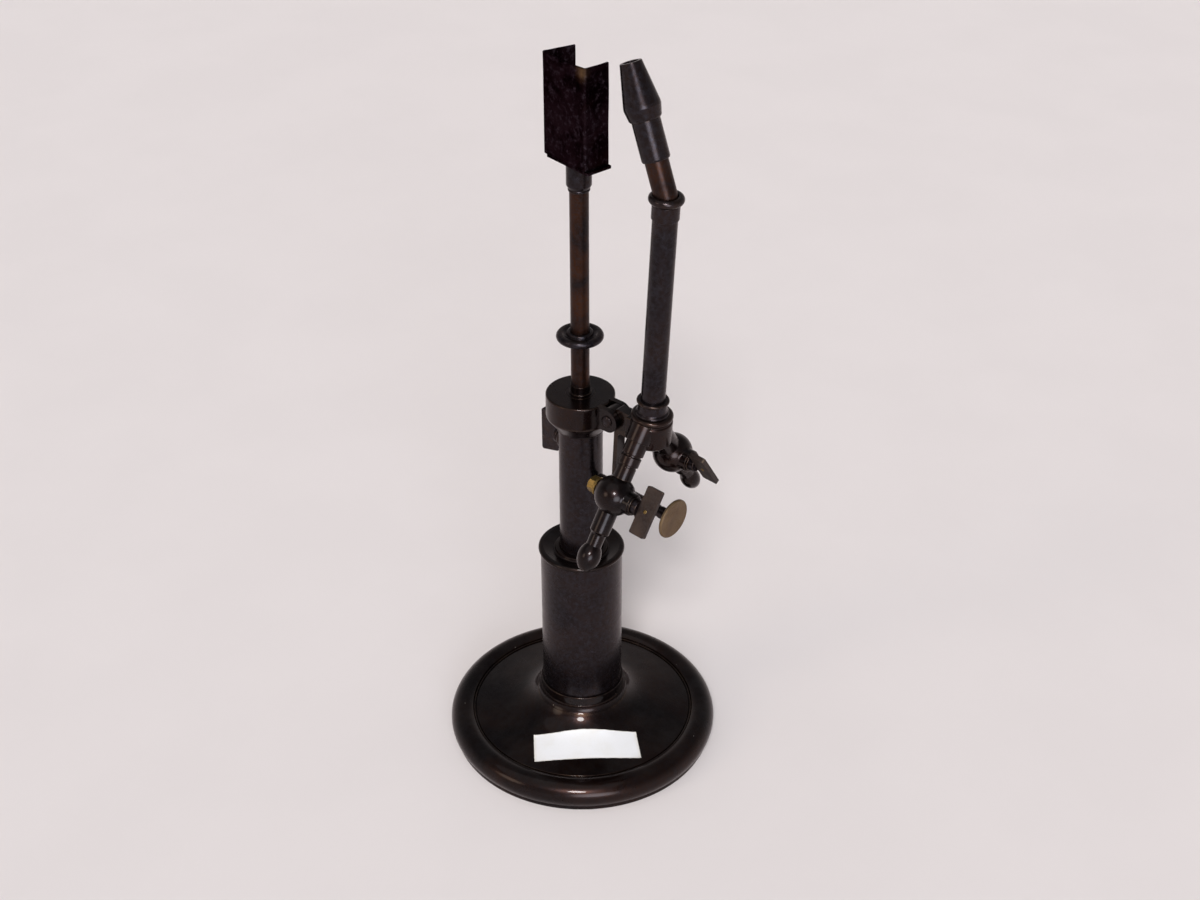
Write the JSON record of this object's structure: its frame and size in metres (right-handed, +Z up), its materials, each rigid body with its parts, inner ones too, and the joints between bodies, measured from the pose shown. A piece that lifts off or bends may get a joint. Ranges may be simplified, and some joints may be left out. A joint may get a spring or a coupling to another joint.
{
  "type": "limelight lamp",
  "caption": "Stand with a round weighted foot, telescopic column, turning lime holder and hinged two-gas burner with cocks and an angled nozzle.",
  "frame": {"origin": "centre of the foot's underside, on the surface it stands on", "axes": "+Z up along the column, +X from the column towards the burner, +Y completes the right-handed frame"},
  "size_m": [0.15, 0.15, 0.4066],
  "materials": {
    "bronzed_gloss": "black-brown bronzed and lacquered brass, glossy",
    "bronzed_satin": "black-brown bronzed brass, satin",
    "brown_brass": "bronzed brass worn brown",
    "yellow_brass": "bare brass, dulled",
    "blade_grey": "grey-brown brass plate, dull",
    "thumb_bronze": "dull bare bronze",
    "holder_sheet": "heat-blackened sheet",
    "steel": "plain steel",
    "lead": "cast lead",
    "baize": "green baize",
    "leather": "greased leather packing",
    "paper": "blank white paper"
  },
  "bodies": {
    "stand": {"foot": "bronzed_gloss", "lead_ballast": "lead", "baize_disc": "baize", "foot_stud": "steel", "foot_nut": "steel", "foot_washer": "steel", "foot_ring": "bronzed_gloss", "pillar_tube": "bronzed_satin", "pillar_plug": "yellow_brass", "pillar_collar": "bronzed_gloss", "paper_label": "paper"},
    "column": {"column_tube": "bronzed_satin", "column_piston": "yellow_brass", "piston_packing": "leather", "column_cap": "bronzed_gloss", "gland_packing": "leather", "rod_gland": "bronzed_gloss", "hinge_lugs": "bronzed_gloss", "hinge_pin": "bronzed_satin", "clamp_boss": "bronzed_gloss"},
    "clamp_screw": {"clamp_screw": "brown_brass", "clamp_wing": "bronzed_satin"},
    "rod_guide": {"rod_guide": "yellow_brass"},
    "lime_rod": {"lime_rod": "brown_brass", "rod_end_screw": "yellow_brass", "finger_disc": "bronzed_satin", "rod_ferrule": "bronzed_satin", "holder_floor": "holder_sheet", "lime_holder": "holder_sheet", "holder_screw": "brown_brass"},
    "burner": {"burner_carrier": "bronzed_gloss", "mixing_chamber": "bronzed_gloss", "baffle_discs": "yellow_brass", "chamber_ferrule": "bronzed_satin", "burner_tube": "bronzed_satin", "tube_socket": "bronzed_satin", "oxygen_branch": "bronzed_gloss", "gas_branch": "bronzed_gloss", "oxygen_cock_body": "bronzed_gloss", "gas_cock_body": "bronzed_gloss", "oxygen_hose_tail": "bronzed_gloss", "gas_hose_tail": "bronzed_gloss"},
    "tilt_screw": {"tilt_screw": "bronzed_satin", "tilt_screw_head": "thumb_bronze"},
    "oxygen_key": {"oxygen_cock_plug": "bronzed_satin", "oxygen_cock_key": "blade_grey", "oxygen_key_pin": "yellow_brass", "oxygen_cock_washer": "yellow_brass", "oxygen_cock_nut": "yellow_brass"},
    "gas_key": {"gas_cock_plug": "bronzed_satin", "gas_cock_key": "blade_grey", "gas_key_pin": "yellow_brass", "gas_cock_washer": "yellow_brass", "gas_cock_nut": "yellow_brass"},
    "elbow": {"elbow_tube": "brown_brass", "elbow_ring": "bronzed_satin", "nozzle_sleeve": "bronzed_satin", "nozzle_tip": "bronzed_satin", "jet_nipple": "brown_brass"}
  },
  "joints": [
    {"name": "column_slide", "type": "slide", "parent": "stand", "child": "column", "axis": [0, 0, 1], "range_m": [-0.028, 0.028]},
    {"name": "rod_slide", "type": "slide", "parent": "column", "child": "rod_guide", "axis": [0, 0, 1], "range_m": [-0.024, 0.072]},
    {"name": "rod_turn", "type": "hinge", "parent": "rod_guide", "child": "lime_rod", "pos_m": [0, 0, 0.2], "axis": [0, 0, 1], "continuous": true},
    {"name": "clamp_turn", "type": "hinge", "parent": "column", "child": "clamp_screw", "pos_m": [-0.014, 0, 0.1893], "axis": [-1, 0, 0], "range_deg": [0, 270]},
    {"name": "burner_tilt", "type": "hinge", "parent": "column", "child": "burner", "pos_m": [0.0231, 0, 0.2155], "axis": [0, -1, 0], "range_deg": [-2, 3]},
    {"name": "tilt_screw_travel", "type": "slide", "parent": "burner", "child": "tilt_screw", "axis": [-0.9987, 0, 0.0515], "range_m": [-0.0015, 0.00225]},
    {"name": "oxygen_key_turn", "type": "hinge", "parent": "burner", "child": "oxygen_key", "pos_m": [0.04551, -0.02583, 0.19087], "axis": [0.9987, 0, -0.0515], "range_deg": [0, 90]},
    {"name": "gas_key_turn", "type": "hinge", "parent": "burner", "child": "gas_key", "pos_m": [0.04569, 0.01922, 0.19439], "axis": [-0.9987, 0, 0.0515], "range_deg": [0, 90]},
    {"name": "elbow_swivel", "type": "hinge", "parent": "burner", "child": "elbow", "pos_m": [0.05345, 0, 0.34491], "axis": [0.0515, 0, 0.9987], "range_deg": [-30, 30]}
  ],
  "couplings": [
    {"joint": "tilt_screw_travel", "follows": "burner_tilt", "m_per_rad": 0.0428}
  ]
}
